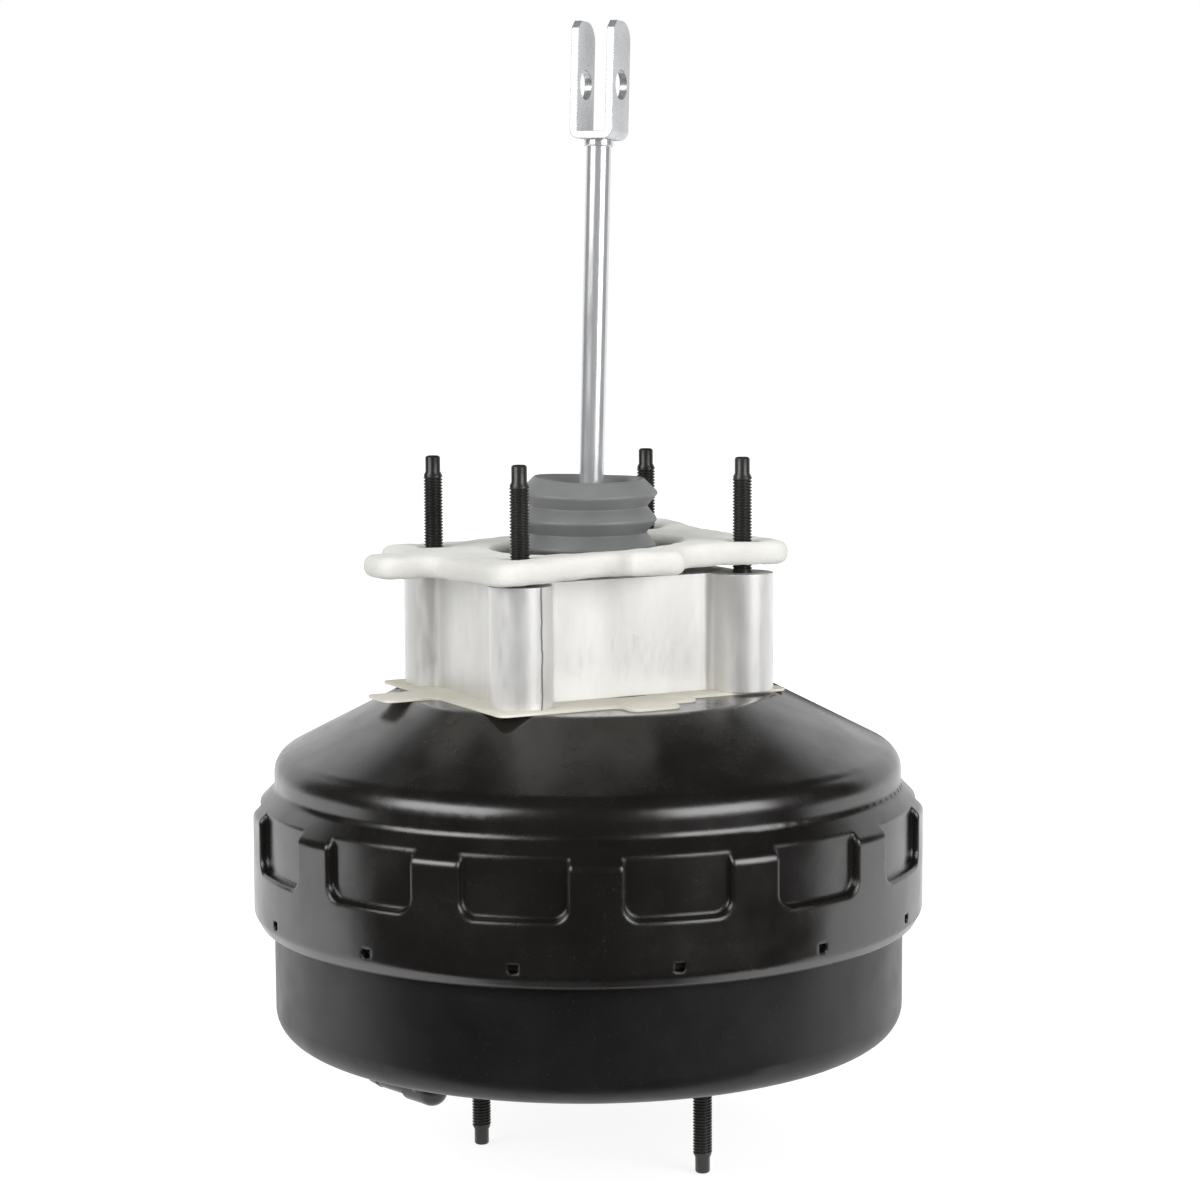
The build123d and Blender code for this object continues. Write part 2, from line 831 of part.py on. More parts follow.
front_bead_top_z = level(hub_front + front_pilot_height)
front_plate_top_z = front_bead_top_z - inner_bead_height
front_plate_bottom_z = front_plate_top_z - plate_sheet
with BuildPart() as front_piston_plate:
    add(
        pressed_section(
            [
                (front_pilot_radius + plate_fit, front_plate_top_z),
                (front_rim_radius, front_plate_top_z),
                (front_rim_radius, front_plate_top_z - front_rim_drop),
            ],
            plate_bend,
            plate_sheet,
            Side.RIGHT,
        )
    )
    revolve(axis=Axis.Z)
save(front_piston_plate, "front_piston_plate")

with BuildPart() as front_plate_retainer:
    add(
        ring(
            front_pilot_radius + plate_fit,
            front_pilot_radius + push_ring_width,
            front_plate_bottom_z - push_ring,
            front_plate_bottom_z,
        )
    )
    revolve(axis=Axis.Z)
save(front_plate_retainer, "front_plate_retainer")

# --------------------------------------------------------------- divider and diaphragms
clamp_z = flange_z + sheet + bead_fit
divider_z = clamp_z + rubber + soft_gap
divider_rim_radius = band_radius - divider_inset
divider_rim_z = lip_z + divider_rim_height
divider_top_z = divider_rim_z + divider_sheet
divider_edge = divider_rim_radius + divider_flange
divider_hub_z = divider_z + divider_hub_height
divider_hub_inner = divider_hub_radius - divider_sheet
with BuildPart() as centre_divider:
    add(
        pressed_section(
            [
                (divider_hub_inner, divider_hub_z),
                (divider_hub_inner, divider_z),
                (divider_rim_radius, divider_z),
                (divider_rim_radius, divider_rim_z),
                (divider_edge, divider_rim_z),
            ],
            divider_bend,
            divider_sheet,
            Side.LEFT,
        )
    )
    revolve(axis=Axis.Z)
save(centre_divider, "centre_divider")

hub_running_radius = hub_radius + body_clearance
divider_seal_middle_z = (divider_z + divider_hub_z) / 2
with BuildPart() as divider_seal:
    add(
        turned_section(
            [
                (hub_running_radius + seal_lip, divider_z),
                (divider_hub_inner, divider_z),
                (divider_hub_inner, divider_hub_z),
                (hub_running_radius + seal_lip, divider_hub_z),
                (hub_running_radius, divider_seal_middle_z),
            ]
        )
    )
    revolve(axis=Axis.Z)
save(divider_seal, "divider_seal")

rear_bead_inner = divider_edge - rear_bead_width
bead_slope_depth = sheet + bead_fit
bead_top_radius = neck_radius + bead_top_margin
rear_bead_top_z = shoulder_z(bead_top_radius, bead_slope_depth)
with BuildPart() as rear_diaphragm:
    add(
        ring(
            pilot_radius + soft_gap,
            pilot_radius + inner_bead,
            rear_plate_top_z,
            rear_ring_z,
        )
    )
    add(
        pressed_section(
            [
                (pilot_radius + inner_bead - rubber, rear_plate_top_z + rubber_lay),
                *dish_points(rubber_lay, rear_fold_inner),
                (rear_fold_inner, level(rear_fold_height)),
                (rear_fold_outer, level(rear_fold_height)),
                (rear_fold_outer, rear_bead_top_z),
            ],
            [plate_bend, plate_bend, plate_bend, plate_bend, fold_radius, fold_radius],
            rubber,
            Side.LEFT,
        )
    )
    add(
        turned_section(
            [
                (rear_bead_inner, divider_top_z),
                (divider_edge, divider_top_z),
                (divider_edge, shoulder_z(divider_edge, bead_slope_depth)),
                (bead_top_radius, rear_bead_top_z),
                (rear_bead_inner, rear_bead_top_z),
            ]
        )
    )
    revolve(axis=Axis.Z)
save(rear_diaphragm, "rear_diaphragm")

front_bead_outer = divider_rim_radius + front_bead_width + soft_gap
front_bead_inner = divider_rim_radius + soft_gap
with BuildPart() as front_diaphragm:
    add(
        ring(
            front_pilot_radius + plate_fit,
            front_pilot_radius + inner_bead,
            front_plate_top_z,
            front_bead_top_z,
        )
    )
    add(
        pressed_section(
            [
                (front_pilot_radius + inner_bead - rubber, front_plate_top_z + rubber_lay),
                (front_fold_inner, front_plate_top_z + rubber_lay),
                (front_fold_inner, level(front_fold_height)),
                (front_fold_outer, level(front_fold_height)),
                (front_fold_outer, clamp_z),
                (front_bead_inner + rubber, clamp_z),
            ],
            [plate_bend, fold_radius, fold_radius, flange_bend],
            rubber,
            Side.LEFT,
        )
    )
    add(ring(front_bead_inner, front_bead_outer, clamp_z - bead_fit, ledge_z - sheet - soft_gap))
    revolve(axis=Axis.Z)
save(front_diaphragm, "front_diaphragm")

# ------------------------------------------------------------------------- control valve
nose_z = reaction_top_z + plunger_travel + spring_gap
plunger_hub_z = plunger_seat_z + plunger_hub_height
socket_rise = plunger_hub_height - ball_rise - socket_lip_height
with BuildPart() as plunger:
    add(
        turned_section(
            [
                (0, nose_z),
                (plunger_radius, nose_z),
                (plunger_radius, groove_z),
                (groove_radius, groove_z),
                (groove_radius, groove_z + groove_height),
                (plunger_radius, groove_z + groove_height),
                (plunger_radius, plunger_seat_z - plunger_flange_height),
                (plunger_flange_radius, plunger_seat_z - plunger_flange_height),
                (plunger_flange_radius, plunger_seat_z),
                (plunger_hub_radius, plunger_seat_z),
                (plunger_hub_radius, plunger_hub_z),
                (0, plunger_hub_z),
            ]
        )
    )
    revolve(axis=Axis.Z)
    with Locations((0, 0, ball_z)):
        Sphere(ball_radius + socket_clearance, mode=Mode.SUBTRACT)
        Cylinder(
            ball_radius + socket_clearance,
            socket_rise,
            align=(Align.CENTER, Align.CENTER, Align.MIN),
            mode=Mode.SUBTRACT,
        )
        Cylinder(
            socket_lip_radius,
            plunger_hub_height,
            align=(Align.CENTER, Align.CENTER, Align.MIN),
            mode=Mode.SUBTRACT,
        )
save(plunger, "plunger")

key_fork_radius = groove_radius + key_clearance
with BuildPart() as retaining_key:
    with BuildSketch(Plane.XY.offset(key_z)):
        with Locations((-key_tail, 0)):
            Rectangle(key_tail + key_reach, key_width, align=(Align.MIN, Align.CENTER))
            Rectangle(
                key_tail,
                2 * key_fork_radius,
                align=(Align.MIN, Align.CENTER),
                mode=Mode.SUBTRACT,
            )
        Circle(key_fork_radius, mode=Mode.SUBTRACT)
    extrude(amount=key_thickness)
save(retaining_key, "retaining_key")

sleeve_bore = poppet_sleeve_radius - poppet_sleeve_wall
poppet_face_z = plunger_seat_z + poppet_face
with BuildPart() as poppet_valve:
    add(
        turned_section(
            [
                (poppet_hole_radius, plunger_seat_z),
                (poppet_radius, plunger_seat_z),
                (poppet_radius, poppet_face_z),
                (poppet_sleeve_radius, poppet_face_z),
                (poppet_sleeve_radius, poppet_top_z - poppet_bead_height),
                (poppet_bead_radius, poppet_top_z - poppet_bead_height),
                (poppet_bead_radius, poppet_top_z),
                (sleeve_bore, poppet_top_z),
                (sleeve_bore, poppet_face_z),
                (poppet_hole_radius, poppet_face_z),
            ]
        )
    )
    revolve(axis=Axis.Z)
save(poppet_valve, "poppet_valve")

retainer_radius = piston_tube_bore - filter_fit
with BuildPart() as poppet_retainer:
    add(
        pressed_section(
            [
                (retainer_hole_radius, retainer_z),
                (retainer_radius, retainer_z),
                (retainer_radius, retainer_z + retainer_height),
            ],
            retainer_bend,
            retainer_sheet,
            Side.LEFT,
        )
    )
    revolve(axis=Axis.Z)
save(poppet_retainer, "poppet_retainer")

with BuildPart() as poppet_spring:
    add(coil(poppet_spring_radius, poppet_wire, poppet_turns, poppet_face_z, retainer_z))
save(poppet_spring, "poppet_spring")

retainer_top_z = retainer_z + retainer_sheet
valve_spring_top_z = ball_z + rod_shoulder_rise - soft_gap
with BuildPart() as valve_return_spring:
    add(coil(valve_mean_radius, valve_wire, valve_turns, retainer_top_z, valve_spring_top_z))
save(valve_return_spring, "valve_return_spring")

filter_z = filter_top_z - filter_height
with BuildPart() as air_filter:
    add(ring(filter_bore, retainer_radius, filter_z, filter_top_z))
    revolve(axis=Axis.Z)
save(air_filter, "air_filter")

with BuildPart() as silencer_foam:
    add(ring(filter_bore, retainer_radius, filter_z - silencer_height, filter_z))
    revolve(axis=Axis.Z)
save(silencer_foam, "silencer_foam")

# --------------------------------------------------------- reaction disc and output rod
with BuildPart() as reaction_disc:
    add(ring(0, reaction_radius, reaction_z, reaction_top_z))
    revolve(axis=Axis.Z)
save(reaction_disc, "reaction_disc")

output_end_z = floor_z + output_rod_end
with BuildPart() as output_rod:
    add(ring(0, output_radius, output_end_z, reaction_z))
    add(ring(0, reaction_radius, level(core_front), reaction_z))
    revolve(axis=Axis.Z)
save(output_rod, "output_rod")

tip_z = output_end_z - output_tip_length
with BuildPart() as output_rod_tip:
    with BuildSketch(Plane.XZ):
        with BuildLine():
            Line((0, output_end_z), (output_collar_radius, output_end_z))
            Line(
                (output_collar_radius, output_end_z),
                (output_collar_radius, output_end_z - output_collar_height),
            )
            Line(
                (output_collar_radius, output_end_z - output_collar_height),
                (output_tip_radius, output_end_z - output_collar_height),
            )
            Line(
                (output_tip_radius, output_end_z - output_collar_height),
                (output_tip_radius, tip_z + output_tip_radius),
            )
            CenterArc((0, tip_z + output_tip_radius), output_tip_radius, 0, -90)
            Line((0, tip_z), (0, output_end_z))
        make_face()
    revolve(axis=Axis.Z)
save(output_rod_tip, "output_rod_tip")

retainer_foot_z = level(core_front) - output_sheet
skirt_radius = core_radius + plate_fit + output_sheet
with BuildPart() as output_rod_retainer:
    add(
        pressed_section(
            [
                (output_retainer_bore, retainer_foot_z),
                (skirt_radius, retainer_foot_z),
                (skirt_radius, retainer_foot_z + output_retainer_skirt),
            ],
            output_sheet,
            output_sheet,
            Side.LEFT,
        )
    )
    revolve(axis=Axis.Z)
    with BuildSketch(Plane.XY.offset(retainer_foot_z)):
        with PolarLocations(channel_pitch_radius, channel_count, start_angle=180 / channel_count):
            Circle(channel_radius)
    extrude(amount=output_sheet, mode=Mode.SUBTRACT)
save(output_rod_retainer, "output_rod_retainer")

with BuildPart() as front_seal:
    add(
        pressed_section(
            [
                (front_seal_radius, front_plate_z),
                (front_seal_cup, front_plate_z),
                (front_seal_cone, front_plate_z + front_seal_height),
                (output_radius + body_clearance, front_plate_z + front_seal_height),
            ],
            front_seal_bend,
            plate_sheet,
            Side.RIGHT,
        )
    )
    revolve(axis=Axis.Z)
save(front_seal, "front_seal")

with BuildPart() as return_spring:
    add(coil(return_mean_radius, return_wire, return_turns, front_plate_z, level(core_root)))
save(return_spring, "return_spring")

# ------------------------------------------------------------------ input rod and clevis
with BuildPart() as input_rod:
    shoulder_top = rod_shoulder_rise + rod_shoulder_height
    add(
        turned_section(
            [
                (0, 0),
                (rod_neck_radius, 0),
                (rod_neck_radius, rod_neck_length),
                (rod_inner_radius, rod_neck_length + rod_neck_taper),
                (rod_inner_radius, rod_shoulder_rise),
                (rod_shoulder_radius, rod_shoulder_rise),
                (rod_shoulder_radius, shoulder_top),
                (rod_radius, shoulder_top),
                (rod_radius, rod_length - rod_collar_height),
                (rod_collar_radius, rod_length - rod_collar_height),
                (rod_collar_radius, rod_length),
                (rivet_radius, rod_length),
                (rivet_radius, rod_length + clevis_sheet),
                (0, rod_length + clevis_sheet),
            ],
            rod_section,
        )
    )
    revolve(axis=rod_axis)
    with Locations(rod_frame):
        Sphere(ball_radius)
save(input_rod, "input_rod")

clevis_half = clevis_gap / 2 + clevis_sheet
clevis_top = rod_length + clevis_height
with BuildPart() as clevis:
    add(
        pressed_section(
            [
                (-clevis_half, clevis_top),
                (-clevis_half, rod_length),
                (clevis_half, rod_length),
                (clevis_half, clevis_top),
            ],
            clevis_bend,
            clevis_sheet,
            Side.LEFT,
            rod_section,
        )
    )
    extrude(amount=clevis_width / 2, dir=rod_section.z_dir, both=True)
    with BuildSketch(rod_side.offset(-clevis_half)) as ear:
        with Locations((0, rod_length)):
            Rectangle(clevis_width, clevis_height, align=(Align.CENTER, Align.MIN))
        near, far = ear.vertices().group_by(Axis.Y)[-1].sort_by(Axis.X)
        chamfer(near, length=clevis_near_corner)
        fillet(far, radius=clevis_far_corner)
        with Locations((0, rod_length + clevis_hole_height)):
            Circle(clevis_hole_radius, mode=Mode.SUBTRACT)
    extrude(amount=2 * clevis_half, mode=Mode.INTERSECT)
    with BuildSketch(rod_frame):
        Circle(rivet_radius + rivet_fit)
    extrude(amount=rod_length + clevis_sheet, mode=Mode.SUBTRACT)
save(clevis, "clevis")

# ------------------------------------------------------------------- vacuum check valve
check_x, check_y = on_circle(check_radius, check_heading)
valve_place = Pos(check_x, check_y, floor_z)


def valve_part(points):
    """Ring of the check valve from corners that count from the floor at its axis."""
    with BuildPart() as turned:
        add(turned_section(points))
        revolve(axis=Axis.Z)
    return valve_place * turned.part


flange_bottom = -grommet_flange
grommet_back = sheet + grommet_fit
with BuildPart() as check_valve_grommet:
    add(
        valve_part(
            [
                (grommet_bore, flange_bottom),
                (grommet_flange_radius, flange_bottom),
                (grommet_flange_radius, 0),
                (check_hole_radius - grommet_fit, 0),
                (check_hole_radius - grommet_fit, grommet_back),
                (grommet_shoulder, grommet_back),
                (grommet_shoulder - grommet_lead_in, grommet_back + grommet_inner_flange),
                (grommet_bore, grommet_back + grommet_inner_flange),
            ]
        )
    )
save(check_valve_grommet, "check_valve_grommet")

base_bottom = flange_bottom - check_base_flange
with BuildPart() as check_valve_base:
    add(
        valve_part(
            [
                (check_bore_radius, base_bottom),
                (check_barrel_radius, base_bottom),
                (check_barrel_radius, flange_bottom),
                (check_stem_radius, flange_bottom),
                (check_stem_radius, check_barb_rise),
                (check_barb_radius, check_barb_rise),
                (check_stem_radius, check_barb_rise + check_barb_height),
                (check_stem_radius, check_stem_rise),
                (check_bore_radius, check_stem_rise),
            ]
        )
    )
save(check_valve_base, "check_valve_base")

barrel_bottom = base_bottom - check_barrel_height
chamber_radius = check_barrel_radius - check_wall
chamber_bottom = barrel_bottom + check_wall
nipple_heading = check_heading - 90
nipple_frame = Plane(
    origin=(check_x, check_y, floor_z - nipple_drop),
    x_dir=(0, 0, 1),
    z_dir=(*on_circle(1, nipple_heading), 0),
)
upward = (Align.CENTER, Align.CENTER, Align.MIN)
with BuildPart() as check_valve_elbow:
    with Locations((check_x, check_y, floor_z + barrel_bottom)):
        Cylinder(check_barrel_radius, check_barrel_height, align=upward)
    with Locations(nipple_frame):
        Sphere(nipple_root_radius)
        Cylinder(nipple_root_radius, nipple_root, align=upward)
        Cylinder(nipple_radius, nipple_length - nipple_barb_length, align=upward)
    with Locations(nipple_frame.offset(nipple_length - nipple_barb_length)):
        Cone(
            nipple_radius + nipple_barb,
            nipple_radius - nipple_lead_in,
            nipple_barb_length,
            align=upward,
        )
    with Locations((check_x, check_y, floor_z + chamber_bottom)):
        Cylinder(chamber_radius, check_barrel_height, align=upward, mode=Mode.SUBTRACT)
    with Locations((check_x, check_y, floor_z - nipple_drop)):
        Sphere(nipple_bore, mode=Mode.SUBTRACT)
        Cylinder(nipple_bore, nipple_drop + chamber_bottom, align=upward, mode=Mode.SUBTRACT)
    with Locations(nipple_frame):
        Cylinder(nipple_bore, nipple_length, align=upward, mode=Mode.SUBTRACT)
save(check_valve_elbow, "check_valve_elbow")

disc_bottom = base_bottom - check_disc_height
with BuildPart() as check_valve_disc:
    with Locations((check_x, check_y, floor_z + disc_bottom)):
        Cylinder(check_disc_radius, check_disc_height, align=upward)
save(check_valve_disc, "check_valve_disc")

with BuildPart() as check_valve_spring:
    add(
        valve_place
        * coil(check_spring_radius, check_wire, check_turns, chamber_bottom, disc_bottom)
    )
save(check_valve_spring, "check_valve_spring")
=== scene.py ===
import bpy
import json
import math
from mathutils import Matrix, Vector, noise


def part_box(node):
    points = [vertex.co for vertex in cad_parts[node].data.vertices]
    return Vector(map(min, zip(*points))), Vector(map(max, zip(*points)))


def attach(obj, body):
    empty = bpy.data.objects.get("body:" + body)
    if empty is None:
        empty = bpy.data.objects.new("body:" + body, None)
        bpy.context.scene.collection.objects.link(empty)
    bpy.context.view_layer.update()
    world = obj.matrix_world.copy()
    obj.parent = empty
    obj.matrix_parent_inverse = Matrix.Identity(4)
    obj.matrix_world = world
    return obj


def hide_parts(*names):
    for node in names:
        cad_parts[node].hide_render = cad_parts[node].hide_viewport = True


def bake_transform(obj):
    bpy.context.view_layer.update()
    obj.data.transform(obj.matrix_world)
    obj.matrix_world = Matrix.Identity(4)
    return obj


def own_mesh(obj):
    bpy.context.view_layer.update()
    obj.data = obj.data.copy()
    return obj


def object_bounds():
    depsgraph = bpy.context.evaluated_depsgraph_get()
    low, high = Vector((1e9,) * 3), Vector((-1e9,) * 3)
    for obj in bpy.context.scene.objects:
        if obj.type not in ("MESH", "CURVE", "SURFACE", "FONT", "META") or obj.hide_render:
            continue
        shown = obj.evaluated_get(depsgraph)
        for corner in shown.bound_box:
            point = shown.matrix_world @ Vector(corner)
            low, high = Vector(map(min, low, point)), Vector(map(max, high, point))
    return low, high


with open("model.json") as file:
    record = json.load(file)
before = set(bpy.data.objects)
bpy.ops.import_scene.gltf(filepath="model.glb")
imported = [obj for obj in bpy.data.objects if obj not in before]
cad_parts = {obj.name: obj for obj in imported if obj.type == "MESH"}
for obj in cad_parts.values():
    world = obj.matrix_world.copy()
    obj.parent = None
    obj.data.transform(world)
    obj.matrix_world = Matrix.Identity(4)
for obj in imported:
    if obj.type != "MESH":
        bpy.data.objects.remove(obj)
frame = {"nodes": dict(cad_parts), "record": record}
cad_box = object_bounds()
nodes = frame["nodes"]

# ------------------------------------------------------------------------ shared places
# Sizes are in millimetres, and MM turns them into Blender's metres. The camera, the booth,
# the floor and the lamps are in metres. The heights of the rod's ball and the boot, and
# those given to level(), count from the floor of the front shell.
MM = 0.001
PLATFORM_DEPTH = 12.0               # front shell's floor to its platform, the shell's end
SHELL_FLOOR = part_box("front_shell")[0].z / MM + PLATFORM_DEPTH
LEAN = math.radians(1.6)            # the rod rests in the boot at this lean
LEAN_HEADING = math.radians(-27.7)
TILT_HEADING = math.radians(39.0)   # the rod tilts this way and back
BALL_HEIGHT = 143.5                 # centre of the rod's ball
FIREWALL_STUDS = [(x, y) for x in (-50, 50) for y in (-40, 40)]


def level(height):
    """Z in metres of a height above the front shell's floor."""
    return (SHELL_FLOOR + height) * MM


def smooth(a, b, value):
    """0 at a and 1 at b, with an even start and end."""
    t = min(1, max(0, (value - a) / (b - a)))
    return t * t * (3 - 2 * t)


# ------------------------------------------------------------------------------- camera
VIEW_HEADING = math.radians(27.7)
VIEW_PITCH = math.radians(6.178)
VIEW_YAW = math.radians(0.285)
VIEW_ROLL = math.radians(0.339)
VIEW_LENS = 80.73
VIEW_DISTANCE = 1.0928              # from the booster's axis
VIEW_HEIGHT = 0.2935                # above the front shell's floor


def facing(right, away, up):
    """Vector in the frame from one that is given as the camera's heading sees it."""
    cos, sin = math.cos(VIEW_HEADING), math.sin(VIEW_HEADING)
    return Vector((right * cos + away * sin, away * cos - right * sin, up))


def camera():
    ahead = Vector((
        math.sin(VIEW_YAW) * math.cos(VIEW_PITCH),
        math.cos(VIEW_YAW) * math.cos(VIEW_PITCH),
        -math.sin(VIEW_PITCH),
    ))
    right = Vector((math.cos(VIEW_YAW), -math.sin(VIEW_YAW), 0))
    down = ahead.cross(right)
    right, down = (
        math.cos(VIEW_ROLL) * right + math.sin(VIEW_ROLL) * down,
        math.cos(VIEW_ROLL) * down - math.sin(VIEW_ROLL) * right,
    )
    data = bpy.data.cameras.new("camera")
    data.sensor_width = 36
    data.lens = VIEW_LENS
    data.clip_start, data.clip_end = 0.05, 20
    cam = bpy.data.objects.new("camera", data)
    bpy.context.collection.objects.link(cam)
    axes = Matrix((facing(*right), -facing(*down), -facing(*ahead))).transposed()
    place = facing(0, -VIEW_DISTANCE, VIEW_HEIGHT) + Vector((0, 0, level(0)))
    cam.matrix_world = Matrix.Translation(place) @ axes.to_4x4()
    bpy.context.scene.camera = cam


camera()


# ---------------------------------------------------------------------------- materials
class Shader:
    """A Principled material with short calls for its procedural inputs."""

    SOCKETS = {
        "colour": "Base Color",
        "metal": "Metallic",
        "rough": "Roughness",
        "specular": "Specular IOR Level",
        "sheen": "Sheen Weight",
        "normal": "Normal",
    }

    def __init__(self, name):
        self.mat = bpy.data.materials.new(name)
        self.mat.use_nodes = True
        self.tree = self.mat.node_tree
        self.out = self.tree.nodes["Material Output"]
        self.bsdf = self.tree.nodes["Principled BSDF"]
        self.coords = self.add("ShaderNodeTexCoord").outputs["Object"]

    def add(self, kind, **values):
        node = self.tree.nodes.new(kind)
        for key, value in values.items():
            setattr(node, key, value)
        return node

    def link(self, source, target):
        self.tree.links.new(source, target)

    def feed(self, socket, value):
        if isinstance(value, bpy.types.NodeSocket):
            self.link(value, socket)
        else:
            socket.default_value = value

    def math(self, operation, a, b=0.0):
        node = self.add("ShaderNodeMath", operation=operation)
        for socket, value in zip(node.inputs, (a, b)):
            self.feed(socket, value)
        return node.outputs[0]

    def length(self, x, y):
        squares = [self.math("MULTIPLY", side, side) for side in (x, y)]
        return self.math("SQRT", self.math("ADD", *squares))

    def noise(self, scale, detail=5.0, stretch=(1, 1, 1)):
        mapping = self.add("ShaderNodeMapping")
        mapping.inputs["Scale"].default_value = stretch
        self.link(self.coords, mapping.inputs["Vector"])
        node = self.add("ShaderNodeTexNoise")
        node.inputs["Scale"].default_value = scale
        node.inputs["Detail"].default_value = detail
        self.link(mapping.outputs[0], node.inputs["Vector"])
        return node.outputs["Fac"]

    def ramp(self, value, low, high, start=0.3, end=0.7):
        """low where the value is start or less, and high where it is end or more."""
        node = self.add("ShaderNodeMapRange")
        limits = {"From Min": start, "From Max": end, "To Min": low, "To Max": high}
        for key, number in limits.items():
            self.feed(node.inputs[key], number)
        self.feed(node.inputs["Value"], value)
        return node.outputs[0]

    def blend(self, factor, a, b):
        node = self.add("ShaderNodeMix", data_type="RGBA")
        self.feed(node.inputs["Factor"], factor)
        for name, value in (("A", a), ("B", b)):
            socket = next(s for s in node.inputs if s.name == name and s.type == "RGBA")
            self.feed(socket, value if isinstance(value, bpy.types.NodeSocket) else (*value, 1))
        return next(s for s in node.outputs if s.type == "RGBA")

    def set(self, **values):
        for key, value in values.items():
            if key == "colour" and not isinstance(value, bpy.types.NodeSocket):
                value = (*value, 1)
            self.feed(self.bsdf.inputs[self.SOCKETS[key]], value)

    def fed(self, key):
        """The socket that already feeds an input of the material."""
        return self.bsdf.inputs[self.SOCKETS[key]].links[0].from_socket

    def relief(self, height, depth, under=None, edge=0.0):
        """Bump of that depth in metres, over another normal or a rounded edge."""
        node = self.add("ShaderNodeBump")
        node.inputs["Strength"].default_value = 1.0
        node.inputs["Distance"].default_value = depth
        self.feed(node.inputs["Height"], height)
        if edge:
            bevel = self.add("ShaderNodeBevel", samples=6)
            bevel.inputs["Radius"].default_value = edge
            under = bevel.outputs[0]
        if under is not None:
            self.link(under, node.inputs["Normal"])
        return node.outputs[0]

    def xyz(self):
        node = self.add("ShaderNodeSeparateXYZ")
        self.link(self.coords, node.inputs[0])
        return node.outputs


def paint(name, dark, light, rough, edge, specular=1.0):
    """Enamel on pressed sheet: a fine orange peel, blotches of gloss, dust and scuffs."""
    dust_colour, scuff_colour = (0.35, 0.35, 0.36), (0.06, 0.06, 0.06)
    s = Shader(name)
    colour = s.blend(s.ramp(s.noise(22, detail=4), 0, 1), dark, light)
    dust = s.ramp(s.noise(900, detail=2), 0, 0.05, start=0.66, end=0.78)
    colour = s.blend(dust, colour, dust_colour)
    scuffs = s.ramp(s.noise(60, detail=2, stretch=(1, 1, 9)), 0, 0.1, start=0.70, end=0.80)
    s.set(
        colour=s.blend(scuffs, colour, scuff_colour),
        rough=s.ramp(s.noise(66, detail=6), *rough),
        specular=specular,
        normal=s.relief(s.noise(420, detail=3), 0.00001, edge=edge),
    )
    return s


def metal(
    name, dark, light, rough,
    stretch=(1, 1, 1), scale=300, depth=0.00002, edge=0.0004, metallic=1.0,
):
    """Bare or plated metal with a drawn or tumbled grain."""
    s = Shader(name)
    grain = s.noise(scale, detail=6, stretch=stretch)
    cloud = s.noise(35, detail=4, stretch=stretch)
    s.set(
        colour=s.blend(s.ramp(cloud, 0, 1), dark, light),
        metal=metallic,
        rough=s.ramp(grain, *rough),
        normal=s.relief(grain, depth, edge=edge),
    )
    return s


def moulded(name, dark, light, rough, scale=500, depth=0.00003, edge=0.0004, sheen=0.0):
    """Rubber, plastic or card with a matt grain."""
    s = Shader(name)
    s.set(
        colour=s.blend(s.ramp(s.noise(40), 0, 1), dark, light),
        rough=s.ramp(s.noise(90, detail=4), *rough),
        sheen=sheen,
        normal=s.relief(s.noise(scale, detail=3), depth, edge=edge),
    )
    return s


def spacer_metal():
    """Cast wall, drawn along its height, with a hairline seam down the front column."""
    seam_place, seam_depth = (-0.0469, -0.0521), 0.0003
    seam_core, seam_edge, seam_wander = 0.0001, 0.0005, 0.0022
    s = metal(
        "spacer_aluminium", (0.68, 0.675, 0.655), (0.88, 0.875, 0.86), (0.34, 0.5),
        stretch=(1, 1, 0.25), scale=380, depth=0.00008, edge=0.0006, metallic=0.62,
    )
    x, y, z = s.xyz()
    waver = s.math("SUBTRACT", s.noise(90, detail=3, stretch=(0, 0, 1)), 0.5)
    from_x = s.math("ADD", s.math("SUBTRACT", x, seam_place[0]), s.math("MULTIPLY", waver, seam_wander))
    from_y = s.math("SUBTRACT", y, seam_place[1])
    seam = s.ramp(s.length(from_x, from_y), 1.0, 0.0, start=seam_core, end=seam_edge)
    s.set(colour=s.blend(seam, s.fed("colour"), (0.2, 0.2, 0.19)))
    s.set(normal=s.relief(s.math("SUBTRACT", 1.0, seam), seam_depth, under=s.fed("normal")))
    return s


